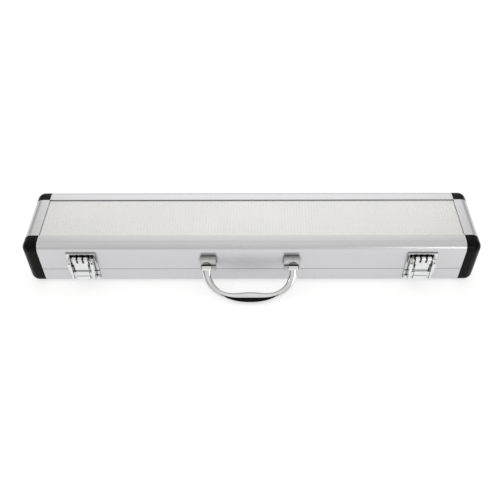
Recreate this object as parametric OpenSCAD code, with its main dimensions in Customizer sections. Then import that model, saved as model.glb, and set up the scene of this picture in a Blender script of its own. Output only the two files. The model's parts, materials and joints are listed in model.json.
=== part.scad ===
// Long flute case: extruded edge profiles, recessed sheet panels and moulded corner posts,
// with two claw latches, a bow handle on the lid and two butt hinges at the back.
// X runs along the case, the front faces -Y, Z is up and the case stands on z = 0.

/* [Case] */
// Overall length of the case
case_l = 530; // [508:1:660]
// Overall depth of the case, front to back, without hardware
case_w = 98; // [92:1:130]
// Overall height of the closed case
case_h = 62; // [54:1:90]
// Height of the base half, floor to the middle of the parting gap
base_h = 24.5; // [22:0.5:32]
// Gap between the two halves at the parting line
part_gap = 0.5; // [0.3:0.1:1]

/* [Edge profiles] */
// Outer radius of the profile's bend
edge_r = 10; // [6:0.5:11]
// Width of the profile's flange over the panel
flange_w = 18.5; // [16:0.5:24]
// Wall of the profile
wall_t = 1.4; // [1:0.1:2]
// Height of the locating tongue above the parting plane
tongue_h = 2.5; // [1.5:0.1:3.5]
// Thickness of the tongue
tongue_t = 1.2; // [0.8:0.1:1.6]
// Clearance between the tongue and the lid's outer web
tongue_gap = 0.7; // [0.4:0.1:1]

/* [Panels] */
// Thickness of the panel under the flange
panel_t = 2.5; // [1.5:0.1:4]
// Depth of the panel's face below the flange's face
panel_recess = 1.2; // [0.8:0.1:1.3]
// Clearance round a panel in its slot
panel_gap = 0.1; // [0.05:0.05:0.3]

/* [Foam] */
// Length of the bed for the assembled body and foot
bed_l = 478; // [380:1:490]
// Width of the body bed, over the keys
bed_w = 37; // [32:1:40]
// Radius of the tube cradles
tube_r = 10; // [9:0.5:11]
// Length of the head joint's bed
head_l = 238; // [200:1:250]
// Width of the head joint's bed
head_w = 30; // [24:1:32]
// Wall between the two rows of beds
bed_wall = 8; // [5:0.5:12]
// Depth of the beds cut into the lid's foam
lid_bed_d = 16; // [10:0.5:18]

/* [Hinges] */
// Length of one hinge
hinge_l = 40; // [30:1:60]
// Distance of each hinge from the middle of the case
hinge_x = 150; // [80:1:190]
// Radius of the hinge pin
hinge_pin_r = 1.2; // [1:0.1:1.6]
// Radius of the hinge barrel
barrel_r = 2.4; // [2.1:0.1:3]
// Thickness of the leaves
leaf_t = 1.2; // [1:0.1:1.3]
// Opening angle at which the hinge's stop lug meets the base leaf
lid_stop = 110; // [95:1:115]

/* [Handle] */
// Distance between the middles of the two legs
handle_span = 100.5; // [90:0.5:130]
// Height of the bow, pin to outer edge
handle_h = 42.2; // [38:0.1:46]
// Width of a leg
leg_w = 11; // [8:0.5:13]
// Thickness of a leg
leg_t = 5.2; // [4:0.1:6]
// Width of the grip's swell
grip_w = 13.3; // [11:0.1:15]
// Thickness of the grip
grip_t = 9; // [7:0.1:10]
// Radius of the handle's pin
handle_pin_r = 1.8; // [1.4:0.1:2.2]
// Angle of the lying handle below level
handle_lie = 50; // [0:0.5:60]
// Height of the handle's pin above the parting plane
handle_z = 9; // [8:0.5:12]

/* [Latches] */
// Distance of each latch from the middle of the case
latch_x = 197; // [150:1:215]
// Width of a latch's plates
plate_w = 34.5; // [33:0.5:40]
// Thickness of the plates
plate_t = 1.2; // [1:0.1:1.3]
// Thickness of the lever's and the claw's sheet
sheet_t = 1.2; // [1:0.1:1.3]
// Width of one claw finger
finger_w = 4.6; // [4:0.1:5]
// Radius of a finger's rolled end
finger_r = 2.4; // [2:0.1:2.6]
// Radius of the lever's pivots
pivot_r = 1.6; // [1.3:0.1:1.8]
// Radius of the claw's pin
claw_pin_r = 1.2; // [1:0.1:1.3]
// Running clearance of a pin in its hole, on the radius
run_gap = 0.05; // [0.02:0.01:0.1]

/* [Hidden] */

// Parting planes of the two halves
base_top = base_h - part_gap / 2;
lid_bottom = base_h + part_gap / 2;
base_d = base_top;
lid_d = case_h - lid_bottom;
// Slot of the panel in the profile: rim plane, ledge and stop rib, from the flange's face
rim_v = wall_t + panel_gap;
ledge_v = rim_v + panel_t + panel_gap;
ledge_t = 1.2;
slot_u = edge_r - 0.1;
// Spigots of the moulded corners
spigot_u = wall_t + 0.15;
spigot_l = 11;
// Tongue and groove
tongue_u = wall_t + tongue_gap;
groove_u = tongue_u + tongue_t + 1.3;
groove_d = tongue_h + 0.8;
rib_t = 1.2;
// Foam blocks
foam_gap = 0.3;
base_foam_u = tongue_u + tongue_t + 0.9;
lid_foam_u = groove_u + rib_t + 0.5;
base_foam_z = ledge_v + ledge_t + foam_gap;
base_foam_top = base_top - 0.3;
lid_foam_z = lid_bottom + 0.6;
lid_foam_top = case_h - ledge_v - ledge_t - foam_gap;
row_w = bed_w + bed_wall + head_w;
body_y = -row_w / 2 + bed_w / 2;
head_y = row_w / 2 - head_w / 2;
bed_floor = base_foam_z + 2.8;
// Hinge axis
hinge_o = 2.6;
hinge_y = case_w / 2 + hinge_o;
leaf_h = 16;
hinge_rivet_r = 1.5;
hinge_rivet_h = 11;
// Handle
pin_o = 6.5;
pin_y = -case_w / 2 - pin_o;
pin_z = base_h + handle_z;
eye_r = 3.8;
ear_gap = 0.4;
lug_t = 5;
side_t = 1;
block_h = 9.3;
block_o = 7;
pocket_z = pin_z + 4.1;
handle_shift = -2;
block_z = pin_z + eye_r + 0.4;
screw_r = 1.45;
screw_z = block_z + 6.6;
// Latch: o is measured out from the front face, z from the floor
catch_top = case_h - edge_r;
catch_low = base_h - 0.6;
plate_top = base_h - 2.2;
plate_low = 7.8;
plate_r = 3;
catch_ledge_t = 0.8;
catch_ledge_o = 2.6;
p1_o = 5.5;
p1_z = base_h + 20.3;
p2_o = 4.8;
p2_z = base_h + 9.5;
hook_o = 6.1;
hook_z = base_h + 23.3;
lip_z = hook_z - 4.2;
lip_o = hook_o - finger_r - 0.3;
finger_gap = 2.1;
claw_w = 3 * finger_w + 2 * finger_gap;
claw_drop = 3.7;
cheek_x = claw_w / 2 + 2;
ear_x = cheek_x + sheet_t + 0.3;
lever_o = 8.6;
lever_top = p2_z - 4.1;
lever_mid = lever_top - 7;
lever_low = lever_mid - 6.2;
ear_r = 2.8;
bar_top = p1_z - 2.3;
bar_x = cheek_x + 4.5;
bar_foot_x = bar_x - 2.1;
tab_x = cheek_x - 3.3;
web_o = lever_o - 1.5;
rivet_x = plate_w / 2 - 2.05;
rivet_z = 14;
catch_rivet_z = base_h + 12.3;
latch_rivet_r = 1.1;

// ---------- helpers ----------

// Extrudes a (y, z) outline from x0 to x1
module along_x(x0, x1) {
  translate([x0, 0, 0]) rotate([90, 0, 90]) linear_extrude(height = x1 - x0) children();
}

// Extrudes an (x, z) outline from y0 to y1
module along_y(y0, y1) {
  translate([0, y1, 0]) rotate([90, 0, 0]) linear_extrude(height = y1 - y0) children();
}

// Cylinder along X from x0 to x1, at y and z
module rod_x(x0, x1, y, z, r) {
  translate([x0, y, z]) rotate([0, 90, 0]) cylinder(r = r, h = x1 - x0, $fn = 64);
}

// Cylinder along Y from y0 to y1, at x and z
module rod_y(x, y0, y1, z, r) {
  translate([x, y1, z]) rotate([90, 0, 0]) cylinder(r = r, h = y1 - y0, $fn = 48);
}

// Corner points of a rectangle with rounded corners
function arc_pts(cx, cy, r, a0, n) = [for (i = [0 : n]) [cx + r * cos(a0 + 90 * i / n),
                                                         cy + r * sin(a0 + 90 * i / n)]];
function round_rect(x0, y0, x1, y1, r, n = 8) = concat(
  arc_pts(x1 - r, y1 - r, r, 0, n), arc_pts(x0 + r, y1 - r, r, 90, n),
  arc_pts(x0 + r, y0 + r, r, 180, n), arc_pts(x1 - r, y0 + r, r, 270, n));

// ---------- edge profile ----------

// Section of the profile: u runs in from the outer face, v from the flange's face
module edge_section(d) {
  // web
  translate([0, edge_r]) square([wall_t, d - edge_r]);
  // flange
  translate([edge_r, 0]) square([flange_w - edge_r, wall_t]);
  // bend
  intersection() {
    difference() {
      translate([edge_r, edge_r]) circle(r = edge_r, $fn = 96);
      translate([edge_r, edge_r]) circle(r = edge_r - wall_t, $fn = 96);
    }
    square([edge_r, edge_r]);
  }
  // rib and ledge that hold the panel
  translate([slot_u - ledge_t, wall_t]) square([ledge_t, ledge_v - wall_t]);
  translate([slot_u - ledge_t, ledge_v]) square([flange_w - slot_u - 1.5 + ledge_t, ledge_t]);
}

// Tongue of the base profile, standing on a rib
module tongue_section() {
  translate([wall_t, base_d - 3.8]) square([tongue_u - wall_t, rib_t]);
  translate([tongue_u, base_d - 3.8])
    square([tongue_t, 3.8 + part_gap / 2 + tongue_h]);
}

// Groove of the lid profile that takes the tongue
module groove_section() {
  translate([wall_t, lid_d - groove_d - rib_t]) square([groove_u + rib_t - wall_t, rib_t]);
  translate([groove_u, lid_d - groove_d]) square([rib_t, groove_d]);
}

module base_section() {
  edge_section(base_d);
  tongue_section();
}

module lid_section() {
  translate([0, case_h]) mirror([0, 1]) {
    edge_section(lid_d);
    groove_section();
  }
}

// Long profile at the front, before its holes
module long_profile(lid = false) {
  along_x(-case_l / 2 + flange_w, case_l / 2 - flange_w)
    translate([-case_w / 2, 0]) {
      if (lid) lid_section();
      else base_section();
    }
}

// Short profile at the left end
module end_profile(lid = false) {
  along_y(-case_w / 2 + flange_w, case_w / 2 - flange_w)
    translate([-case_l / 2, 0]) {
      if (lid) lid_section();
      else base_section();
    }
}

// Rivet holes of one latch plate and one hinge leaf, through the web
module plate_holes() {
  for (s = [-1, 1]) translate([s * latch_x, 0, 0]) {
    for (k = [-1, 1]) rod_y(k * rivet_x, -case_w / 2 - 1, -case_w / 2 + wall_t + 0.5, rivet_z,
                               latch_rivet_r + 0.05);
  }
}

module catch_holes() {
  for (s = [-1, 1]) translate([s * latch_x, 0, 0]) {
    for (k = [-1, 1])
      rod_y(k * 5.5, -case_w / 2 - 1, -case_w / 2 + wall_t + 0.5, catch_rivet_z, latch_rivet_r + 0.05);
  }
}

module screw_holes() {
  for (s = [-1, 1]) for (k = [-4, 4])
    rod_y(handle_shift + s * (handle_span / 2 - 2.25) + k, -case_w / 2 - 1,
          -case_w / 2 + wall_t + 0.5, screw_z, screw_r + 0.15);
}

module hinge_holes(z) {
  for (s = [-1, 1]) for (k = [-1, 0, 1])
    rod_y(s * hinge_x + k * hinge_l * 0.34, case_w / 2 - wall_t - 0.5, case_w / 2 + 1, z,
          hinge_rivet_r + 0.05);
}

module base_profile_front() {
  color("silver") difference() {
    long_profile();
    plate_holes();
  }
}

module base_profile_back() {
  color("silver") difference() {
    mirror([0, 1, 0]) long_profile();
    hinge_holes(base_h - hinge_rivet_h);
  }
}

module base_profile_left() { color("silver") end_profile(); }

module base_profile_right() { color("silver") mirror([1, 0, 0]) end_profile(); }

module lid_profile_front() {
  color("silver") difference() {
    long_profile(lid = true);
    catch_holes();
    screw_holes();
  }
}

module lid_profile_back() {
  color("silver") difference() {
    mirror([0, 1, 0]) long_profile(lid = true);
    hinge_holes(base_h + hinge_rivet_h);
  }
}

module lid_profile_left() { color("silver") end_profile(lid = true); }

module lid_profile_right() { color("silver") mirror([1, 0, 0]) end_profile(lid = true); }

// ---------- panels ----------

// Sheet held under the flanges, with its field standing up to the stated recess
module panel() {
  u = slot_u + 0.1;
  f = flange_w + 0.4;
  translate([-case_l / 2 + u, -case_w / 2 + u, rim_v])
    cube([case_l - 2 * u, case_w - 2 * u, panel_t]);
  translate([-case_l / 2 + f, -case_w / 2 + f, panel_recess])
    cube([case_l - 2 * f, case_w - 2 * f, rim_v - panel_recess + 0.5]);
}

module base_panel() { color("gainsboro") panel(); }

module lid_panel() { color("gainsboro") translate([0, 0, case_h]) mirror([0, 0, 1]) panel(); }

// ---------- moulded corners ----------

// Quarter ring of the bend in the lower left quadrant, about the bend's centre
module bend_ring() {
  intersection() {
    difference() {
      circle(r = edge_r, $fn = 96);
      circle(r = edge_r - wall_t, $fn = 96);
    }
    translate([-edge_r, -edge_r]) square([edge_r, edge_r]);
  }
}

// Corner shell at the front left, from the flange's face down to d, with its spigots
module corner(d, v0, v1) {
  w = flange_w - 0.15;
  r = edge_r;
  t = wall_t;
  in = spigot_u + 1.5;
  translate([-case_l / 2, -case_w / 2, 0]) {
    // ball at the corner, and the three bends that leave it
    translate([r, r, r]) rotate([0, 0, 180]) rotate_extrude(angle = 90, $fn = 96)
      mirror([1, 0]) bend_ring();
    translate([0, r, r]) along_x(r, w) bend_ring();
    translate([r, 0, r]) along_y(r, w) bend_ring();
    translate([r, r, r]) linear_extrude(height = d - r) bend_ring();
    // flat walls
    translate([r, r, 0]) cube([w - r, w - r, t]);
    translate([r, 0, r]) cube([w - r, t, d - r]);
    translate([0, r, r]) cube([t, w - r, d - r]);
    // spigots that slide behind the webs, each on a pad inside the wall
    translate([r + 1, t, v0]) cube([w - r - 2, in - t, v1 - v0]);
    translate([w - 1.5, spigot_u, v0]) cube([spigot_l + 1.5, in - spigot_u, v1 - v0]);
    translate([t, r + 1, v0]) cube([in - t, w - r - 2, v1 - v0]);
    translate([spigot_u, w - 1.5, v0]) cube([in - spigot_u, spigot_l + 1.5, v1 - v0]);
  }
}

module base_corner() { color("black") corner(base_d, edge_r, base_d - 4.2); }

module lid_corner() {
  color("black") translate([0, 0, case_h]) mirror([0, 0, 1])
    corner(lid_d, edge_r, lid_d - groove_d - rib_t - 0.4);
}

module base_corner_fl() { base_corner(); }
module base_corner_fr() { mirror([1, 0, 0]) base_corner(); }
module base_corner_bl() { mirror([0, 1, 0]) base_corner(); }
module base_corner_br() { mirror([1, 0, 0]) mirror([0, 1, 0]) base_corner(); }
module lid_corner_fl() { lid_corner(); }
module lid_corner_fr() { mirror([1, 0, 0]) lid_corner(); }
module lid_corner_bl() { mirror([0, 1, 0]) lid_corner(); }
module lid_corner_br() { mirror([1, 0, 0]) mirror([0, 1, 0]) lid_corner(); }

// ---------- foam ----------

module foam_block(u, z0, z1) {
  translate([0, 0, z0]) linear_extrude(height = z1 - z0)
    polygon(round_rect(-case_l / 2 + u, -case_w / 2 + u, case_l / 2 - u, case_w / 2 - u, 7));
}

module bed(x0, x1, y, w, z0, z1) {
  translate([0, 0, z0]) linear_extrude(height = z1 - z0)
    polygon(round_rect(x0, y - w / 2, x1, y + w / 2, 4, 4));
}

module base_foam() {
  color("dimgray") difference() {
    foam_block(base_foam_u, base_foam_z, base_foam_top);
    // body and foot: a tube cradle under a wider slot for the keys
    bed(-bed_l / 2, bed_l / 2, body_y, bed_w, base_foam_top - 7, base_foam_top + 1);
    rod_x(-bed_l / 2 + 1, bed_l / 2 - 1, body_y, bed_floor + tube_r, tube_r);
    // head joint, with a wider pocket for the lip plate
    bed(-bed_l / 2, -bed_l / 2 + head_l, head_y, tube_r * 2 + 2, base_foam_top - 7,
        base_foam_top + 1);
    bed(-bed_l / 2 + head_l - 85, -bed_l / 2 + head_l - 40, head_y, head_w, base_foam_top - 7,
        base_foam_top + 1);
    rod_x(-bed_l / 2 + 1, -bed_l / 2 + head_l - 1, head_y, bed_floor + tube_r, tube_r);
    // well for the cleaning rod and cloth
    bed(-bed_l / 2 + head_l + bed_wall, bed_l / 2, head_y, head_w, bed_floor, base_foam_top + 1);
  }
}

module lid_foam() {
  color("dimgray") difference() {
    foam_block(lid_foam_u, lid_foam_z, lid_foam_top);
    bed(-bed_l / 2, bed_l / 2, body_y, bed_w, lid_foam_z - 1, lid_foam_z + lid_bed_d);
    bed(-bed_l / 2, -bed_l / 2 + head_l, head_y, head_w, lid_foam_z - 1, lid_foam_z + lid_bed_d);
    bed(-bed_l / 2 + head_l + bed_wall, bed_l / 2, head_y, head_w, lid_foam_z - 1,
        lid_foam_z + 8);
  }
}

// ---------- hinges ----------

knuckle_n = 5;
knuckle_gap = 0.3;
knuckle_l = hinge_l / knuckle_n;

// Leaf lying on the back face below the axis, with every second knuckle
module leaf_body(first, count) {
  y0 = case_w / 2;
  along_x(-hinge_l / 2, hinge_l / 2)
    translate([y0, base_h - leaf_h]) square([leaf_t, leaf_h - barrel_r - 0.4]);
  for (i = [0 : count - 1]) {
    x0 = -hinge_l / 2 + (first + 2 * i) * knuckle_l + knuckle_gap / 2;
    x1 = x0 + knuckle_l - knuckle_gap;
    along_x(x0, x1) translate([y0, base_h - barrel_r - 1]) square([leaf_t, barrel_r + 0.6]);
    rod_x(x0, x1, hinge_y, base_h, barrel_r);
  }
}

// Stop lug on a lid knuckle: at the stop angle it lies along the base leaf
module stop_lug(x0) {
  translate([x0, hinge_y, base_h]) rotate([lid_stop, 0, 0])
    translate([0.5, leaf_t + 0.2 - hinge_o, -barrel_r - 2.8])
      cube([knuckle_l - knuckle_gap - 1, 1.4, 3.6]);
}

// Bore for the pin, and the rivet holes at height z
module leaf_cuts(z) {
  rod_x(-hinge_l, hinge_l, hinge_y, base_h, hinge_pin_r + run_gap);
  for (k = [-1, 0, 1])
    rod_y(k * hinge_l * 0.34, case_w / 2 - 1, case_w / 2 + leaf_t + 1, z, hinge_rivet_r + 0.05);
}

module base_leaf() {
  color("silver") difference() {
    leaf_body(0, 3);
    leaf_cuts(base_h - hinge_rivet_h);
  }
}

module lid_leaf() {
  color("silver") difference() {
    union() {
      translate([0, 0, 2 * base_h]) mirror([0, 0, 1]) leaf_body(1, 2);
      for (i = [1, 3]) stop_lug(-hinge_l / 2 + i * knuckle_l + knuckle_gap / 2);
    }
    leaf_cuts(base_h + hinge_rivet_h);
  }
}

module hinge_base_leaf_left() { translate([-hinge_x, 0, 0]) base_leaf(); }
module hinge_base_leaf_right() { translate([hinge_x, 0, 0]) base_leaf(); }
module hinge_lid_leaf_left() { translate([-hinge_x, 0, 0]) lid_leaf(); }
module hinge_lid_leaf_right() { translate([hinge_x, 0, 0]) lid_leaf(); }

module hinge_pin() {
  color("gray") rod_x(-hinge_l / 2, hinge_l / 2, hinge_y, base_h, hinge_pin_r);
}

module hinge_pin_left() { translate([-hinge_x, 0, 0]) hinge_pin(); }
module hinge_pin_right() { translate([hinge_x, 0, 0]) hinge_pin(); }

// Domed rivet along Y: head outside at y1, shank and tail inside
module rivet_y(x, z, y_in, y_out, r, s = 1) {
  translate([x, y_out, z]) rotate([s * -90, 0, 0]) {
    cylinder(r = r * 1.35, h = 0.7, $fn = 48);
    translate([0, 0, -abs(y_out - y_in)]) cylinder(r = r, h = abs(y_out - y_in), $fn = 48);
    translate([0, 0, -abs(y_out - y_in) - 0.6]) cylinder(r = r * 1.4, h = 0.6, $fn = 48);
  }
}

module hinge_rivets(z) {
  color("silver") for (s = [-1, 1]) for (k = [-1, 0, 1])
    rivet_y(s * hinge_x + k * hinge_l * 0.34, z, case_w / 2 - wall_t, case_w / 2 + leaf_t,
            hinge_rivet_r);
}

module hinge_rivets_base() { hinge_rivets(base_h - hinge_rivet_h); }
module hinge_rivets_lid() { hinge_rivets(base_h + hinge_rivet_h); }

// ---------- handle ----------

// Bracket on the left: a block with an arched pocket over the leg's eye, a lug inside it and a
// thin ear outside
module bracket() {
  x0 = -handle_span / 2 - leg_w / 2 - ear_gap - side_t;
  x1 = -handle_span / 2 + leg_w / 2 + ear_gap + lug_t;
  xl = x1 - lug_t;
  y0 = -case_w / 2;
  color("gray") difference() {
    union() {
      along_x(x0, x1) translate([y0, block_z]) polygon([
        [0, 0], [-block_o + 1, 0], [-block_o, 1], [-block_o, block_h - 2.2],
        [-block_o + 0.6, block_h - 0.7], [-block_o + 2, block_h], [0, block_h]]);
      rod_x(xl, x1, pin_y, pin_z, 3.4);
      translate([xl, y0 - pin_o - 2, pin_z]) cube([lug_t, pin_o + 1, block_z - pin_z + 0.5]);
      translate([x0, y0 - pin_o, pin_z]) rotate([0, 90, 0])
        cylinder(r = 3, h = side_t, $fn = 48);
      translate([x0, y0 - pin_o - 0.1, pin_z]) cube([side_t, 3.1, block_z - pin_z + 0.5]);
    }
    rod_x(x0 - 1, x1 + 1, pin_y, pin_z, handle_pin_r + 0.02);
    rod_y(-handle_span / 2, y0 - block_o - 1, y0 - 2.2, pocket_z, leg_w / 2 + ear_gap);
    rod_x(x0 + side_t, xl, pin_y, pin_z, eye_r + 0.7);
    for (k = [-4, 4])
      rod_y(-handle_span / 2 + 2.25 + k, y0 - 1.8, y0 + 1, screw_z, screw_r + 0.03);
  }
}

module handle_bracket_left() { translate([handle_shift, 0, 0]) bracket(); }
module handle_bracket_right() { translate([handle_shift, 0, 0]) mirror([1, 0, 0]) bracket(); }

module handle_screws() {
  y0 = -case_w / 2;
  color("silver") for (s = [-1, 1]) for (k = [-4, 4])
      translate([handle_shift + s * (handle_span / 2 - 2.25) + k, 0, screw_z]) {
    rod_y(0, y0 - 1.8, y0 + wall_t, 0, screw_r);
    rod_y(0, y0 + wall_t, y0 + wall_t + 1.6, 0, 2.7);
  }
}

module handle_pins() {
  color("silver") translate([handle_shift, 0, 0]) for (s = [0, 1]) mirror([s, 0, 0]) {
    x0 = -handle_span / 2 - leg_w / 2 - ear_gap - side_t;
    x1 = -handle_span / 2 + leg_w / 2 + ear_gap + lug_t;
    rod_x(x0, x1 - 0.6, pin_y, pin_z, handle_pin_r);
  }
}

// Bow in its own plane: X across, Y out from the pins, Z square to the plane.
// Rings of a sweep along a rounded arch; the grip swells towards the hand at the middle.
ring_n = 44;
arch_y0 = 4;
// Reference line of the arch at angle a, 0 to 180 degrees
function arch(a) = [handle_span / 2 * sign(cos(a)) * pow(abs(cos(a)), 0.9),
                    arch_y0 + (handle_h - 3.5 - arch_y0) * pow(max(sin(a), 0), 0.9)];
function slim(a) = pow(max(0, sin(a)), 0.8);
function leg_half() = leg_w / 2 - 0.2;
function inner_w(a) = leg_half() + (3.5 - leg_half()) * slim(a)
                      + (grip_w - 7) * pow(max(0, sin(a)), 10);
function outer_w(a) = leg_half() + (3.5 - leg_half()) * slim(a);
function thick(a) = leg_t / 2 + (grip_t - leg_t) / 2 * pow(max(0, sin(a)), 4);
function unit(v) = v / norm(v);
function tang(a) = a < 1 ? [0, 1] : a > 179 ? [0, -1] : unit(arch(a + 0.5) - arch(a - 0.5));
// Rounded section: w across the arch, q square to the plane
function sect(w, q, t) = [w * sign(cos(t)) * pow(abs(cos(t)), 0.8),
                          q * sign(sin(t)) * pow(abs(sin(t)), 0.8)];
// Inlay: how far it runs either side of the middle, and its span of section angles there
inlay_half = 32;
inlay_d = 0.9;
function inlay_f(a) = max(0, 1 - pow(arch(a)[0] / inlay_half, 2));
function t_a(a) = 84;
function t_b(a) = 93 + 36 * inlay_f(a);
// Angles of a ring's points over the upper half, with the inlay's span in the middle
function half_t(a) = concat([for (i = [0 : 3]) t_a(a) * i / 4],
  [t_a(a), t_a(a) + 0.8, (t_a(a) + t_b(a)) / 2, t_b(a) - 0.8],
  [for (i = [0 : 3]) t_b(a) + (180 - t_b(a)) * i / 4]);
function in_span(i) = i > 4 && i < 8;
// Point of the bow's surface at section angle t, lifted by h square to the plane
function surf(a, t, h) = let (c = arch(a), d = tang(a), wi = inner_w(a), wo = outer_w(a),
                              s = sect((wi + wo) / 2, thick(a), t), p = (wi - wo) / 2 + s[0])
  [c[0] - d[1] * p, c[1] + d[0] * p, s[1] + h * sign(s[1])];
function cut(a, i) = in_span(i) && inlay_f(a) > 0 ? -inlay_d : 0;
function ring(a) = let (t = half_t(a)) concat(
  [for (i = [0 : 11]) surf(a, t[i], cut(a, i))],
  [surf(a, 180, 0)],
  [for (i = [11 : -1 : 1]) surf(a, -t[i], cut(a, i))]);
arch_a = [for (i = [0 : ring_n]) 180 * i / ring_n];
inlay_a = [for (a = arch_a) if (inlay_f(a) > 0.02) a];
strip_t = 0.5;
// Where the strip's ends are trimmed square
// Strip of the inlay over one ring, seated in its recess on the side d of the bow
inlay_trim = inlay_half - 2;
function strip(a, d) = let (t = half_t(a)) concat(
  [for (i = [6 + d : -d : 6 - d]) surf(a, d * (t[i] + strip_t * (6 - i)), 0.05)],
  [for (i = [6 - d : d : 6 + d]) surf(a, d * (t[i] + strip_t * (6 - i)), -inlay_d + 0.1)]);

// Leg below the arch: the section at the arch's foot carried straight down to the eye
function leg_ring(a, y) = [for (p = ring(a)) [p[0], y, p[2]]];

module tube(rings) {
  n = len(rings[0]);
  m = len(rings);
  polyhedron(
    points = [for (r = rings) each r],
    faces = concat(
      [[for (k = [0 : n - 1]) k]],
      [[for (k = [0 : n - 1]) (m - 1) * n + n - 1 - k]],
      [for (i = [0 : m - 2]) for (k = [0 : n - 1])
        [i * n + k, (i + 1) * n + k, (i + 1) * n + (k + 1) % n]],
      [for (i = [0 : m - 2]) for (k = [0 : n - 1])
        [i * n + k, (i + 1) * n + (k + 1) % n, i * n + (k + 1) % n]]));
}

module bow_flat() {
  difference() {
    union() {
      tube(concat([leg_ring(0, 2.4)], [for (a = arch_a) ring(a)], [leg_ring(180, 2.4)]));
      for (s = [-1, 1]) rod_x(s * handle_span / 2 - leg_w / 2, s * handle_span / 2 + leg_w / 2,
                              0, 0, eye_r);
    }
    rod_x(-handle_span, handle_span, 0, 0, handle_pin_r + run_gap);
  }
}

// Lays the bow in the case's frame: its plane turned down from level
module lay_handle() {
  translate([handle_shift, pin_y, pin_z]) rotate([180 + handle_lie, 0, 0]) children();
}

module handle_bow() { color("silver") lay_handle() bow_flat(); }

module handle_inlay() {
  color("black") lay_handle() for (d = [-1, 1]) intersection() {
    tube([for (a = inlay_a) strip(a, d)]);
    translate([-inlay_trim, 0, -grip_t]) cube([2 * inlay_trim, 2 * handle_h, 2 * grip_t]);
  }
}

// ---------- latches ----------

module on_latch(s) {
  translate([s * latch_x, -case_w / 2, 0]) mirror([0, 1, 0]) children();
}

// Outline of a latch plate, its corners rounded at one end
module plate_outline(z0, z1, low) {
  r = plate_r;
  translate([-plate_w / 2, low ? z0 + r : z0]) square([plate_w, z1 - z0 - r]);
  translate([-plate_w / 2 + r, z0]) square([plate_w - 2 * r, z1 - z0]);
  for (s = [-1, 1]) translate([s * (plate_w / 2 - r), low ? z0 + r : z1 - r])
    circle(r = r, $fn = 48);
}

// Catch on the lid: plate, turned-out top ledge and the lip behind the claw's fingers
module catch() {
  color("gainsboro") difference() {
    union() {
      translate([-plate_w / 2, 0, catch_low]) cube([plate_w, plate_t, catch_top - catch_low]);
      translate([-plate_w / 2, 0, catch_top - catch_ledge_t])
        cube([plate_w, catch_ledge_o, catch_ledge_t]);
      translate([-claw_w / 2, 0, lip_z]) cube([claw_w, lip_o, 1.1]);
      translate([-claw_w / 2, lip_o - 1, lip_z]) cube([claw_w, 1, 3]);
    }
    for (k = [-1, 1]) rod_y(k * 5.5, -1, plate_t + 1, catch_rivet_z, latch_rivet_r + 0.05);
  }
}

module latch_catch_left() { on_latch(-1) catch(); }
module latch_catch_right() { on_latch(1) catch(); }

module catch_rivets() {
  color("silver") for (s = [-1, 1]) on_latch(s) for (k = [-1, 1])
    rivet_y(k * 5.5, catch_rivet_z, -wall_t, plate_t, latch_rivet_r);
}

// Plate on the base with the two ears that carry the lever
module base_plate() {
  color("gainsboro") difference() {
    union() {
      along_y(0, plate_t) plate_outline(plate_low, plate_top, true);
      for (s = [0, 1]) mirror([s, 0, 0]) {
        translate([ear_x, plate_t - 0.3, plate_low + 5])
          cube([1.1, p1_o + ear_r - plate_t + 0.3, plate_top - plate_low - 5]);
        translate([ear_x, plate_t + 1, plate_top - 1])
          cube([1.1, p1_o + ear_r - plate_t - 1, p1_z - plate_top + 1]);
        rod_x(ear_x, ear_x + 1.1, p1_o, p1_z, ear_r);
      }
    }
    rod_x(-plate_w, plate_w, p1_o, p1_z, pivot_r + 0.02);
    for (k = [-1, 1]) rod_y(k * rivet_x, -1, plate_t + 1, rivet_z, latch_rivet_r + 0.05);
  }
}

module latch_plate_left() { on_latch(-1) base_plate(); }
module latch_plate_right() { on_latch(1) base_plate(); }

module latch_rivets() {
  color("silver") for (s = [-1, 1]) on_latch(s) for (k = [-1, 1])
    rivet_y(k * rivet_x, rivet_z, -wall_t, plate_t, latch_rivet_r);
}

// Stub rivets on which the levers turn, each headed outside its ear and inside the cheek
module latch_pivots() {
  color("silver") for (s = [-1, 1]) on_latch(s) for (m = [0, 1]) mirror([m, 0, 0]) {
    rod_x(cheek_x - 0.5, ear_x + 1.1, p1_o, p1_z, pivot_r);
    rod_x(ear_x + 1.1, ear_x + 1.9, p1_o, p1_z, 2.3);
    rod_x(cheek_x - 1.1, cheek_x - 0.3, p1_o, p1_z, 2.2);
  }
}

// Outline of the lever's sheet from height z0 down to its flared foot
module foot_section(z0) {
  polygon([[lever_o, z0], [lever_o, lever_mid], [lever_o + 1.4, lever_low],
           [lever_o + 2.4, lever_low], [lever_o + sheet_t, lever_mid], [lever_o + sheet_t, z0]]);
}

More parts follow.
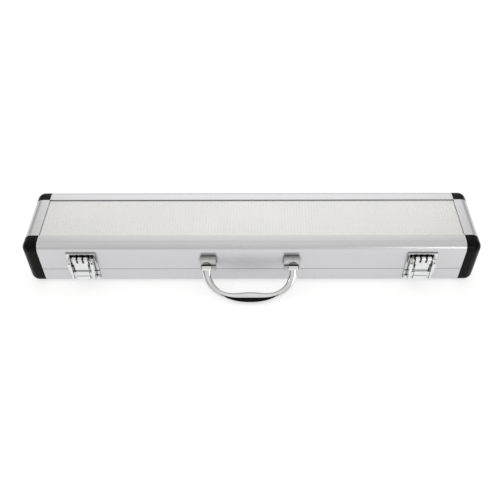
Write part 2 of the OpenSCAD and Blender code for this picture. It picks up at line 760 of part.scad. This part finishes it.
// Lever: two cheeks turned out into front bars, and a tab between them on a web set back behind
// it
module lever() {
  color("gainsboro") difference() {
    union() {
      for (s = [0, 1]) mirror([s, 0, 0]) {
        along_x(cheek_x, cheek_x + sheet_t) polygon([
          [p1_o - 3, p1_z], [p1_o - 2.4, lever_mid], [lever_o - 1.8, lever_low],
          [lever_o + 1.9, lever_low], [lever_o + 0.6, lever_mid],
          [lever_o + 0.6, bar_top], [p1_o + 3.1, p1_z]]);
        rod_x(cheek_x, cheek_x + sheet_t, p1_o, p1_z, 3.1);
        along_y(lever_o, lever_o + sheet_t) polygon([
          [cheek_x, lever_mid], [cheek_x, bar_top], [bar_x - 1.2, bar_top],
          [bar_x, bar_top - 1.2], [bar_foot_x, lever_mid]]);
        along_x(cheek_x, bar_foot_x) foot_section(lever_mid + 0.01);
      }
      along_x(-tab_x, tab_x) foot_section(lever_top);
      along_x(-cheek_x - 0.5, cheek_x + 0.5) translate([web_o, lever_low + 0.8])
        square([lever_o - web_o + 0.3, lever_top - lever_low - 2.4]);
    }
    rod_x(-plate_w, plate_w, p1_o, p1_z, pivot_r + run_gap);
    rod_x(-plate_w, plate_w, p2_o, p2_z, claw_pin_r + 0.02);
    translate([-tab_x - 1, lever_o + sheet_t - 0.5, lever_mid - 0.4]) cube([2 * tab_x + 2, 2, 0.8]);
  }
}

module lever_left() { on_latch(-1) lever(); }
module lever_right() { on_latch(1) lever(); }

module lever_pin() {
  color("silver") rod_x(-cheek_x - sheet_t, cheek_x + sheet_t, p2_o, p2_z, claw_pin_r);
}

module lever_pin_left() { on_latch(-1) lever_pin(); }
module lever_pin_right() { on_latch(1) lever_pin(); }

// Claw: barrel on the lever's pin, flat plate and three rolled fingers
module claw() {
  w = claw_w / 2 - 1.2;
  po = p2_o + 2.1;
  color("gainsboro") difference() {
    union() {
      rod_x(-w, w, p2_o, p2_z, 2.4);
      translate([-w, p2_o, p2_z - 1.6]) cube([2 * w, po - p2_o + 0.5, 3.2]);
      along_x(-w, w) translate([po, p2_z - claw_drop]) square([sheet_t, hook_z - p2_z - 5 + claw_drop]);
      for (k = [-1, 0, 1]) translate([k * (finger_w + finger_gap), 0, 0]) {
        along_x(-finger_w / 2, finger_w / 2)
          translate([po, hook_z - 7]) square([sheet_t, 7]);
        rod_x(-finger_w / 2, finger_w / 2, hook_o, hook_z, finger_r);
      }
    }
    rod_x(-plate_w, plate_w, p2_o, p2_z, claw_pin_r + run_gap);
    rod_x(-plate_w, plate_w, hook_o, hook_z, finger_r - sheet_t);
  }
}

module claw_left() { on_latch(-1) claw(); }
module claw_right() { on_latch(1) claw(); }

// ---------- nodes ----------

base_profile_front();
base_profile_back();
base_profile_left();
base_profile_right();
base_panel();
base_corner_fl();
base_corner_fr();
base_corner_bl();
base_corner_br();
base_foam();
lid_profile_front();
lid_profile_back();
lid_profile_left();
lid_profile_right();
lid_panel();
lid_corner_fl();
lid_corner_fr();
lid_corner_bl();
lid_corner_br();
lid_foam();
hinge_base_leaf_left();
hinge_base_leaf_right();
hinge_lid_leaf_left();
hinge_lid_leaf_right();
hinge_pin_left();
hinge_pin_right();
hinge_rivets_base();
hinge_rivets_lid();
handle_bracket_left();
handle_bracket_right();
handle_screws();
handle_pins();
handle_bow();
handle_inlay();
latch_catch_left();
latch_catch_right();
catch_rivets();
latch_plate_left();
latch_plate_right();
latch_rivets();
latch_pivots();
lever_left();
lever_pin_left();
claw_left();
lever_right();
lever_pin_right();
claw_right();
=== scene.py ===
"""Looks of the long flute case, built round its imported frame. Lengths in metres unless a name ends in _mm."""
import json
import math

import bmesh
import bpy
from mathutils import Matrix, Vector


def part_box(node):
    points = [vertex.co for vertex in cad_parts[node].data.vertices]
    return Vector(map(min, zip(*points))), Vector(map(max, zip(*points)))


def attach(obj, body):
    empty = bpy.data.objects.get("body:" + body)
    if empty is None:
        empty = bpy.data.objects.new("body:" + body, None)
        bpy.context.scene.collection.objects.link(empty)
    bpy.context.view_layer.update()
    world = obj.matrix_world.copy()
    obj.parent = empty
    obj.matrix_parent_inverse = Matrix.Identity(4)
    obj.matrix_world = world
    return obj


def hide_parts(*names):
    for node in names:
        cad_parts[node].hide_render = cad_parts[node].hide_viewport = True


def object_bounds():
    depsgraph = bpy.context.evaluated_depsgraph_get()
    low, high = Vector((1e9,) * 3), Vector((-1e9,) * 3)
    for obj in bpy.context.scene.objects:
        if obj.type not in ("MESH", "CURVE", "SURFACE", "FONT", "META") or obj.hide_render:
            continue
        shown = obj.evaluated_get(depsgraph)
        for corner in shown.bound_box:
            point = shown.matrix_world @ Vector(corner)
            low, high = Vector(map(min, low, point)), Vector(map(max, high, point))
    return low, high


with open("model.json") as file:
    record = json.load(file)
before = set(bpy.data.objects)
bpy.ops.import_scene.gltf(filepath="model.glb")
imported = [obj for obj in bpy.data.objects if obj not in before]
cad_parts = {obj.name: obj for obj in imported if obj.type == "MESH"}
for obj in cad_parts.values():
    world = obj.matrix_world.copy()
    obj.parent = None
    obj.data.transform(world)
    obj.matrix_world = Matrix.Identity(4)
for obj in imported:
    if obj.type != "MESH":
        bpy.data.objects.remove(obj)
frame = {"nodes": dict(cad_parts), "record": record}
cad_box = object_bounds()

MM = 0.001

# ---------- camera ----------

CAM_TARGET_MM = (1.64, 0.0, 4.66)
CAM_DISTANCE_MM = 803.9
CAM_PITCH_DEG = 46.56
CAM_ROLL_RAD = -0.0016
CAM_FOCAL_PX = 640.7
CAM_CENTRE_PX = 253.11
FRAME_PX = 500
SENSOR_MM = 36.0
CAM_NEAREST = 0.01


def add_camera():
    pitch = math.radians(CAM_PITCH_DEG)
    data = bpy.data.cameras.new("camera")
    data.sensor_width = SENSOR_MM
    data.lens = CAM_FOCAL_PX * SENSOR_MM / FRAME_PX
    data.shift_x = (FRAME_PX / 2 - CAM_CENTRE_PX) / FRAME_PX
    data.clip_start = CAM_NEAREST
    cam = bpy.data.objects.new("camera", data)
    bpy.context.scene.collection.objects.link(cam)
    toward_viewer = Vector((0, -math.cos(pitch), math.sin(pitch)))
    cam.location = Vector(CAM_TARGET_MM) * MM + toward_viewer * CAM_DISTANCE_MM * MM
    cam.rotation_euler = (math.pi / 2 - pitch, 0, 0)
    cam.rotation_euler.rotate_axis("Z", CAM_ROLL_RAD)
    bpy.context.scene.camera = cam


# ---------- node helpers ----------


class Mat:
    """A material whose Principled shader gets its colour, roughness and bump from procedural nodes."""

    def __init__(self, name, **constants):
        self.mat = bpy.data.materials.new(name)
        self.mat.use_nodes = True
        self.tree = self.mat.node_tree
        self.shader = self.tree.nodes["Principled BSDF"]
        for socket, value in constants.items():
            self.shader.inputs[socket.replace("_", " ")].default_value = value
        self.coord = self.tree.nodes.new("ShaderNodeTexCoord").outputs["Object"]

    def node(self, kind, *links, **settings):
        n = self.tree.nodes.new("ShaderNode" + kind)
        for key, value in settings.items():
            setattr(n, key, value)
        for socket, source in links:
            if isinstance(source, bpy.types.NodeSocket):
                self.tree.links.new(source, n.inputs[socket])
            else:
                n.inputs[socket].default_value = source
        return n

    def noise(self, scale, detail=3.0, rough=0.5):
        """Noise over the object's own coordinates; scale is one number or a stretch of x, y and z, per metre."""
        stretch = scale if isinstance(scale, tuple) else (scale,) * 3
        at = self.node("Mapping", ("Vector", self.coord), ("Scale", stretch)).outputs[0]
        return self.node("TexNoise", ("Vector", at), ("Scale", 1.0), ("Detail", detail),
                         ("Roughness", rough)).outputs["Fac"]

    def ramp(self, value, low, high, to_low, to_high):
        return self.node("MapRange", (0, value), (1, low), (2, high), (3, to_low),
                         (4, to_high)).outputs[0]

    def share(self, value, low, high):
        """How far a value has come from low to high, as 0 to 1."""
        return self.ramp(value, low, high, 0.0, 1.0)

    def mix(self, share, a, b, blend_type="MIX"):
        return self.node("Mix", (0, share), (6, a), (7, b), data_type="RGBA", blend_type=blend_type).outputs[2]

    def weighed(self, a, b, weight_a):
        """Sum of two values, with weight_a of the first and the rest of the second."""
        parts = [self.node("Math", (0, value), (1, weight), operation="MULTIPLY").outputs[0]
                 for value, weight in ((a, weight_a), (b, 1.0 - weight_a))]
        return self.node("Math", (0, parts[0]), (1, parts[1]), operation="ADD").outputs[0]

    def painted_crevice_shade(self, source, reach, depth=0.1, shut=0.38, clear=0.82):
        """Painted shade: darkens a colour in crevices narrower than reach, where less light gets in.

        It goes down to depth times the colour where less than shut of the sky is open, and starts below clear.
        """
        open_air = self.node("AmbientOcclusion", ("Distance", reach), samples=6).outputs["AO"]
        crevice_shaded = self.mix(1.0, source, grey(depth), "MULTIPLY")
        return self.mix(self.ramp(open_air, shut, clear, 1.0, 0.0), source, crevice_shaded)

    def colour(self, source):
        self.tree.links.new(source, self.shader.inputs["Base Color"])

    def roughness(self, source):
        self.tree.links.new(source, self.shader.inputs["Roughness"])

    def bump(self, *layers):
        """Layers of (height source, depth in metres, strength)."""
        normal = None
        for height, depth, strength in layers:
            links = [("Height", height), ("Distance", depth), ("Strength", strength)]
            if normal:
                links.append(("Normal", normal))
            normal = self.node("Bump", *links).outputs[0]
        self.tree.links.new(normal, self.shader.inputs["Normal"])


PLAIN = (1.0, 1.0, 1.0)


def grey(value, tint=PLAIN):
    return (value * tint[0], value * tint[1], value * tint[2], 1.0)


# ---------- materials ----------


def anodised(name, along, tone=0.66, rough=0.29):
    """Satin anodised extrusion: fine draw lines along it and a faint cloudy tone, with painted shade in its
    seams and inner corners.
    """
    m = Mat(name, Metallic=0.75)
    fine, coarse = 2600.0, 12.0
    lines = m.noise(tuple(coarse if i == along else fine for i in range(3)), detail=2.0)
    cloud = m.noise(14.0, detail=4.0)
    streaks = m.weighed(lines, cloud, 0.55)
    skin = m.mix(m.share(streaks, 0.35, 0.65), grey(tone * 0.985, (0.99, 0.993, 1.02)),
                 grey(tone * 1.015, (0.99, 0.993, 1.018)))
    # Painted shade: the colour is darkened in seams and inner corners, where shade falls.
    m.colour(m.painted_crevice_shade(skin, reach=0.006, depth=0.02, shut=0.3, clear=0.74))
    m.roughness(m.ramp(streaks, 0.3, 0.7, rough - 0.03, rough + 0.03))
    m.bump((lines, 0.000008, 0.3))
    return m.mat


def sheet_metal(name, tone=0.79, rough=0.40):
    """Pale lacquered sheet of the panels, between its raised dots."""
    m = Mat(name, Metallic=0.85)
    grain = m.noise(1800.0, detail=4.0)
    cloud = m.noise(9.0, detail=3.0)
    m.colour(m.mix(m.share(cloud, 0.35, 0.65), grey(tone * 0.975, (1.0, 1.0, 0.985)),
                   grey(tone * 1.02, (1.0, 1.0, 0.99))))
    m.roughness(m.ramp(grain, 0.35, 0.65, rough - 0.06, rough + 0.06))
    m.bump((grain, 0.00003, 0.4))
    return m.mat


def moulded(name, tone=0.0035, rough=0.17):
    """Black moulded plastic with a fine spark texture, rubbed paler here and there."""
    m = Mat(name, Specular_IOR_Level=0.08)
    grain = m.noise(1400.0, detail=2.0)
    rub = m.noise(60.0, detail=5.0, rough=0.65)
    m.colour(m.mix(m.share(rub, 0.45, 0.75), grey(tone), grey(tone * 1.9)))
    m.roughness(m.ramp(rub, 0.3, 0.75, rough - 0.03, rough + 0.08))
    m.bump((grain, 0.00004, 0.25))
    return m.mat


def chrome(name, tone=0.78, rough=0.07):
    """Bright plate over a die casting or pressing: clear reflections, a faint ripple, a little handling haze,
    and painted shade in the gaps between parts.
    """
    m = Mat(name, Metallic=1.0)
    ripple = m.noise(220.0, detail=2.0)
    haze = m.noise(90.0, detail=6.0, rough=0.7)
    cool = (0.985, 0.995, 1.0)
    plate = m.mix(m.share(haze, 0.4, 0.7), grey(tone, cool), grey(tone * 0.94, cool))
    # Painted shade: the plate is darkened in gaps and crevices, where shade falls between parts.
    m.colour(m.painted_crevice_shade(plate, reach=0.0045, depth=0.05))
    m.roughness(m.ramp(haze, 0.35, 0.8, rough, rough + 0.09))
    m.bump((ripple, 0.00004, 0.25))
    return m.mat


def satin_zinc(name, tone=0.54, rough=0.40):
    """Grey satin casting of the handle's brackets, with painted shade in its pocket and where it meets the case.
    """
    m = Mat(name, Metallic=0.85)
    grain = m.noise(1500.0, detail=4.0, rough=0.6)
    worn = m.noise(180.0, detail=4.0)
    casting = m.mix(m.share(worn, 0.4, 0.7), grey(tone * 0.9), grey(tone * 1.15))
    # Painted shade: the casting is darkened in its pocket and next to the case wall, where shade falls.
    m.colour(m.painted_crevice_shade(casting, reach=0.014, depth=0.03, shut=0.25, clear=0.97))
    m.roughness(m.ramp(grain, 0.3, 0.7, rough - 0.08, rough + 0.1))
    m.bump((grain, 0.00005, 0.5))
    return m.mat


def plated_steel(name, tone=0.62, rough=0.24):
    """Nickel plated steel of the hinges, pins and rivets, with painted shade in the crevices around them."""
    m = Mat(name, Metallic=1.0)
    rolled = m.noise((60.0, 900.0, 900.0), detail=3.0)
    spots = m.noise(160.0, detail=5.0, rough=0.6)
    steel = m.mix(m.share(spots, 0.4, 0.7), grey(tone, (1.0, 0.99, 0.97)),
                  grey(tone * 0.86, (1.0, 0.985, 0.95)))
    # Painted shade: the steel is darkened in crevices, where shade falls between parts.
    m.colour(m.painted_crevice_shade(steel, reach=0.004))
    m.roughness(m.ramp(rolled, 0.3, 0.7, rough - 0.05, rough + 0.1))
    m.bump((rolled, 0.00003, 0.3))
    return m.mat


def gloss_black(name):
    """Black grip strip let into the bow, glossy with soft streaks."""
    m = Mat(name, Specular_IOR_Level=0.12)
    streak = m.noise((40.0, 500.0, 500.0), detail=3.0)
    m.colour(m.mix(m.share(streak, 0.4, 0.65), grey(0.002), grey(0.006)))
    m.roughness(m.ramp(streak, 0.3, 0.7, 0.12, 0.26))
    m.bump((streak, 0.00002, 0.3))
    return m.mat


def flock(name):
    """Charcoal flocking: short dense fibres with a velvet rim."""
    m = Mat(name, Roughness=0.95, Sheen_Weight=0.55, Sheen_Roughness=0.45,
            Sheen_Tint=(0.55, 0.56, 0.6, 1.0), Specular_IOR_Level=0.1)
    fibre = m.noise(5200.0, detail=3.0, rough=0.7)
    nap = m.noise(75.0, detail=4.0, rough=0.6)
    m.colour(m.mix(m.share(m.weighed(fibre, nap, 0.5), 0.36, 0.64), grey(0.010, (1.0, 1.02, 1.1)),
                   grey(0.034, (1.0, 1.02, 1.08))))
    m.bump((nap, 0.0004, 0.35), (fibre, 0.00025, 0.8))
    return m.mat


MATERIALS = {
    "profile_x": anodised("anodised_along_x", 0),
    "profile_y": anodised("anodised_along_y", 1),
    "panel": sheet_metal("panel_sheet"),
    "corner": moulded("corner_moulding"),
    "chrome": chrome("bright_chrome"),
    "bracket": satin_zinc("bracket_zinc"),
    "inlay": gloss_black("grip_inlay"),
    "hardware": plated_steel("plated_steel"),
    "foam": flock("flocked_foam"),
}


def material_of(node, slot):
    """Material of a CAD node; a profile's draw lines run along it, so the end profiles have their own."""
    if slot == "profile":
        return MATERIALS["profile_y" if node.endswith(("left", "right")) else "profile_x"]
    return MATERIALS[slot]


# ---------- finish of the CAD nodes ----------

# A node takes the width of the last entry here that its name starts or ends with, and none otherwise.
EDGE_ROUND_MM = {"latch_plate": 0.18, "latch_catch": 0.18, "lever": 0.2, "claw": 0.2, "handle_bracket": 0.35,
                 "hinge": 0.15, "rivets": 0.3, "catch_rivets": 0.3, "handle_screws": 0.2}
EDGE_ROUND_STEPS = 2
EDGE_ANGLE_DEG = 38.0
SMOOTH_ANGLE_DEG = 32.0
CAD_WELD_MM = 0.002


def smooth_by_angle():
    """Node group that shades a mesh smooth, except across its sharp edges."""
    group = bpy.data.node_groups.new("smooth_by_angle", "GeometryNodeTree")
    group.interface.new_socket("Geometry", in_out="INPUT", socket_type="NodeSocketGeometry")
    group.interface.new_socket("Geometry", in_out="OUTPUT", socket_type="NodeSocketGeometry")
    new, link = group.nodes.new, group.links.new
    source = new("NodeGroupInput")
    faces = new("GeometryNodeSetShadeSmooth")
    edges = new("GeometryNodeSetShadeSmooth")
    edges.domain = "EDGE"
    edges.inputs["Shade Smooth"].default_value = False
    angle = new("GeometryNodeInputMeshEdgeAngle")
    sharp = new("FunctionNodeCompare")
    sharp.inputs[1].default_value = math.radians(SMOOTH_ANGLE_DEG)
    link(angle.outputs["Unsigned Angle"], sharp.inputs[0])
    link(sharp.outputs[0], edges.inputs["Selection"])
    link(source.outputs[0], faces.inputs["Geometry"])
    link(faces.outputs[0], edges.inputs["Geometry"])
    sink = new("NodeGroupOutput")
    link(edges.outputs[0], sink.inputs[0])
    return group


def smooth_shading(obj, group):
    """Joins a CAD node's faces at their shared corners and shades its curved faces smooth."""
    weld = obj.modifiers.new("weld", "WELD")
    weld.merge_threshold = CAD_WELD_MM * MM
    smooth = obj.modifiers.new("smooth", "NODES")
    smooth.node_group = group


def round_edges(obj, width_mm):
    """Small rounds on a pressed or cast piece's sharp edges."""
    bevel = obj.modifiers.new("rounds", "BEVEL")
    bevel.width = width_mm * MM
    bevel.segments = EDGE_ROUND_STEPS
    bevel.limit_method = "ANGLE"
    bevel.angle_limit = math.radians(EDGE_ANGLE_DEG)
    bevel.harden_normals = True


def finish_cad_nodes():
    """Gives each CAD node its material, smooth shading and, where it is listed, rounded edges."""
    group = smooth_by_angle()
    for row in frame["record"]["subparts"]:
        node = row["node"]
        obj = frame["nodes"][node]
        obj.data.materials.clear()
        obj.data.materials.append(material_of(node, row["material_slot"]))
        smooth_shading(obj, group)
        widths = [w for stem, w in EDGE_ROUND_MM.items() if node.startswith(stem) or node.endswith(stem)]
        if widths:
            round_edges(obj, widths[-1])


# ---------- new pieces ----------


def new_piece(name, mesh, body):
    """A piece that rides on a body."""
    obj = bpy.data.objects.new(name, mesh)
    bpy.context.scene.collection.objects.link(obj)
    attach(obj, body)
    return obj


FOAM_WELD_MM = 0.01
FOAM_VOXEL_MM = 1.3
FOAM_RELAX = 0.5
FOAM_RELAX_TIMES = 8


def foam_insert(name, node, body):
    """Foam insert with soft edges: the cut block remeshed fine, then relaxed."""
    mesh = frame["nodes"][node].data.copy()
    mesh.name = name
    obj = new_piece(name, mesh, body)
    obj.data.materials.clear()
    obj.data.materials.append(MATERIALS["foam"])
    weld = obj.modifiers.new("weld", "WELD")
    weld.merge_threshold = FOAM_WELD_MM * MM
    remesh = obj.modifiers.new("remesh", "REMESH")
    remesh.mode = "VOXEL"
    remesh.voxel_size = FOAM_VOXEL_MM * MM
    remesh.use_smooth_shade = True
    relax = obj.modifiers.new("relax", "SMOOTH")
    relax.factor = FOAM_RELAX
    relax.iterations = FOAM_RELAX_TIMES
    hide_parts(node)


DOT_PITCH_MM = 3.6
DOT_RADIUS_MM = 1.05
DOT_HEIGHT_MM = 0.14
DOT_SIDES = 10
# Rings of a dot from its foot up: share of its radius, share of its height.
DOT_RINGS = ((1.0, -0.02), (0.86, 0.42), (0.5, 0.88))
DOT_MARGIN_MM = 1.25
FLANGE_MM = 18.9


def dot_places(span):
    """Even places either side of 0 that leave the margin free at both ends of a span."""
    count = int((span - 2 * DOT_MARGIN_MM * MM) / (DOT_PITCH_MM * MM))
    return [(i - count / 2) * DOT_PITCH_MM * MM for i in range(count + 1)]


def add_dot(bm, centre, up):
    """One raised dot: rings of corners, a top point and a closed foot. It stands down where up is -1."""
    loops = []
    for share, rise in DOT_RINGS:
        reach, lift = DOT_RADIUS_MM * MM * share, up * DOT_HEIGHT_MM * MM * rise
        angles = [2 * math.pi * k / DOT_SIDES for k in range(DOT_SIDES)]
        loops.append([bm.verts.new(centre + Vector((reach * math.cos(a), reach * math.sin(a), lift)))
                      for a in angles])
    top = bm.verts.new(centre + Vector((0, 0, up * DOT_HEIGHT_MM * MM)))
    faces = [loops[0][::-1]]
    for k in range(DOT_SIDES):
        after = (k + 1) % DOT_SIDES
        for lower, upper in zip(loops, loops[1:]):
            faces.append([lower[k], lower[after], upper[after], upper[k]])
        faces.append([loops[-1][k], loops[-1][after], top])
    for face in faces:
        bm.faces.new(face if up > 0 else face[::-1])


def embossing(name, node, body, up):
    """Raised dots in a square grid over the field of a panel whose outer face looks up (1) or down (-1)."""
    low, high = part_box(node)
    case_low, case_high = case_box()
    mid = (low + high) / 2
    face_z = high.z if up > 0 else low.z
    field_x, field_y = (case_high[i] - case_low[i] - 2 * FLANGE_MM * MM for i in (0, 1))
    bm = bmesh.new()
    for x in dot_places(field_x):
        for y in dot_places(field_y):
            add_dot(bm, Vector((mid.x + x, mid.y + y, face_z)), up)
    mesh = bpy.data.meshes.new(name)
    bm.to_mesh(mesh)
    bm.free()
    mesh.shade_smooth()
    mesh.materials.append(MATERIALS["panel"])
    new_piece(name, mesh, body)


def case_box():
    """Outer faces of the case itself, without hardware."""
    corners = [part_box(n) for n in ("base_corner_fl", "base_corner_br", "lid_corner_fl", "lid_corner_br")]
    low = Vector([min(c[0][i] for c in corners) for i in range(3)])
    high = Vector([max(c[1][i] for c in corners) for i in range(3)])
    return low, high


# ---------- stage ----------

FLOOR_SIZE = 12.0
FLOOR_DROP = 0.0002
# The floor lights the object as a plain diffuse tone. The camera and reflections see a diffuse part, which
# holds the shadow, and a glow added to it, which makes the rest near white.
FLOOR_TONE = 0.9
FLOOR_PALE = 0.52
FLOOR_LIFT = 0.68


def add_floor():
    mesh = bpy.data.meshes.new("floor")
    s = FLOOR_SIZE / 2
    z = cad_box[0].z - FLOOR_DROP
    mesh.from_pydata([(-s, -s, z), (s, -s, z), (s, s, z), (-s, s, z)], [], [(0, 1, 2, 3)])
    floor = bpy.data.objects.new("floor", mesh)
    bpy.context.scene.collection.objects.link(floor)
    mat = bpy.data.materials.new("pale_floor")
    mat.use_nodes = True
    tree = mat.node_tree
    tree.nodes.clear()
    new, link = tree.nodes.new, tree.links.new
    path = new("ShaderNodeLightPath")
    seen = path.outputs["Is Camera Ray"]
    for ray in ("Is Glossy Ray", "Is Transmission Ray"):
        either = new("ShaderNodeMath")
        either.operation = "MAXIMUM"
        link(seen, either.inputs[0])
        link(path.outputs[ray], either.inputs[1])
        seen = either.outputs[0]
    plain = new("ShaderNodeBsdfDiffuse")
    plain.inputs["Color"].default_value = grey(FLOOR_TONE)
    pale = new("ShaderNodeBsdfDiffuse")
    pale.inputs["Color"].default_value = grey(FLOOR_PALE)
    glow = new("ShaderNodeEmission")
    glow.inputs["Strength"].default_value = FLOOR_LIFT
    both = new("ShaderNodeAddShader")
    link(pale.outputs[0], both.inputs[0])
    link(glow.outputs[0], both.inputs[1])
    mix = new("ShaderNodeMixShader")
    link(seen, mix.inputs[0])
    link(plain.outputs[0], mix.inputs[1])
    link(both.outputs[0], mix.inputs[2])
    out = new("ShaderNodeOutputMaterial")
    link(mix.outputs[0], out.inputs[0])
    mesh.materials.append(mat)


SKY_TONE = 0.96
SKY_TINT = (1.01, 1.0, 0.985)
# Stops of a band: height of a direction above the horizon (1 is straight up), brightness.
SKY_BANDS = ((0.0, 0.99), (0.11, 0.97), (0.34, 0.75), (0.5, 0.885), (0.72, 0.83), (0.86, 0.92), (1.0, 1.0))
DARK_BAND = ((0.0, 1.0), (0.2, 0.97), (0.24, 0.04), (0.4, 0.04), (0.48, 0.97), (1.0, 1.0))
# The dark band is full where a direction's |x| is past the second number, and down to its AHEAD share
# below the first.
DARK_BAND_SIDES = (0.5, 0.8)
DARK_BAND_AHEAD = 0.2
# Light lost straight to the sides, which sets in between these heights.
SKY_SIDE_FALL = 0.4
SKY_SIDE_HEIGHTS = (0.1, 0.3)


def add_world():
    """Soft studio surround in bands: pale at the horizon, a dark band above it at the sides, dimmer overhead."""
    world = bpy.data.worlds.new("studio")
    bpy.context.scene.world = world
    world.use_nodes = True
    tree = world.node_tree
    new, link = tree.nodes.new, tree.links.new

    def banded(height, stops, tint):
        node = new("ShaderNodeValToRGB")
        ramp = node.color_ramp
        ramp.interpolation = "EASE"
        while len(ramp.elements) < len(stops):
            ramp.elements.new(0.5)
        for element, (at, value) in zip(ramp.elements, stops):
            element.position = at
            element.color = grey(value, tint)
        link(height, node.inputs[0])
        return node.outputs[0]

    def map_range(source, low, high, to_low, to_high):
        node = new("ShaderNodeMapRange")
        link(source, node.inputs[0])
        for socket, value in zip(node.inputs[1:5], (low, high, to_low, to_high)):
            socket.default_value = value
        return node.outputs[0]

    split = new("ShaderNodeSeparateXYZ")
    link(new("ShaderNodeTexCoord").outputs["Generated"], split.inputs[0])
    height = split.outputs["Z"]
    sideways = new("ShaderNodeMath")
    sideways.operation = "ABSOLUTE"
    link(split.outputs["X"], sideways.inputs[0])

    shaded = new("ShaderNodeMix")
    shaded.data_type = "RGBA"
    shaded.blend_type = "MULTIPLY"
    link(map_range(sideways.outputs[0], *DARK_BAND_SIDES, DARK_BAND_AHEAD, 1.0), shaded.inputs[0])
    link(banded(height, SKY_BANDS, SKY_TINT), shaded.inputs[6])
    link(banded(height, DARK_BAND, PLAIN), shaded.inputs[7])

    side_share = new("ShaderNodeMix")
    link(map_range(height, *SKY_SIDE_HEIGHTS, 0.0, 1.0), side_share.inputs[0])
    side_share.inputs[2].default_value = 1.0
    link(map_range(sideways.outputs[0], 0.0, 1.0, 1.0, 1.0 - SKY_SIDE_FALL), side_share.inputs[3])

    dimmed = new("ShaderNodeVectorMath")
    dimmed.operation = "SCALE"
    link(shaded.outputs[2], dimmed.inputs[0])
    link(side_share.outputs[0], dimmed.inputs["Scale"])
    background = tree.nodes["Background"]
    link(dimmed.outputs[0], background.inputs["Color"])
    background.inputs["Strength"].default_value = SKY_TONE


# Each lamp: place, width and height of its face, power in watts.
LAMPS = {
    "key_above_back": ((0.01, 1.2, 0.85), (1.6, 0.7), 2.4),
    "front_left": ((-0.9, -0.72, 0.8), (0.2, 0.2), 0.5),
    "front_right": ((0.6, -1.0, 0.48), (0.3, 0.3), 0.8),
}
LAMP_AIM = (0.0, 0.0, 0.03)


def add_softbox(name, place, size, power):
    data = bpy.data.lights.new(name, "AREA")
    data.shape = "RECTANGLE"
    data.size, data.size_y = size
    data.energy = power
    lamp = bpy.data.objects.new(name, data)
    bpy.context.scene.collection.objects.link(lamp)
    lamp.location = place
    lamp.rotation_euler = (Vector(LAMP_AIM) - Vector(place)).to_track_quat("-Z", "Y").to_euler()
    lamp.visible_camera = False


# ---------- scene ----------

add_camera()
finish_cad_nodes()
foam_insert("base_insert", "base_foam", "base")
foam_insert("lid_insert", "lid_foam", "lid")
embossing("lid_panel_dots", "lid_panel", "lid", 1)
embossing("base_panel_dots", "base_panel", "base", -1)
add_floor()
add_world()
for lamp_name, (lamp_place, lamp_size, lamp_power) in LAMPS.items():
    add_softbox(lamp_name, lamp_place, lamp_size, lamp_power)
bpy.context.scene.view_settings.view_transform = "Standard"
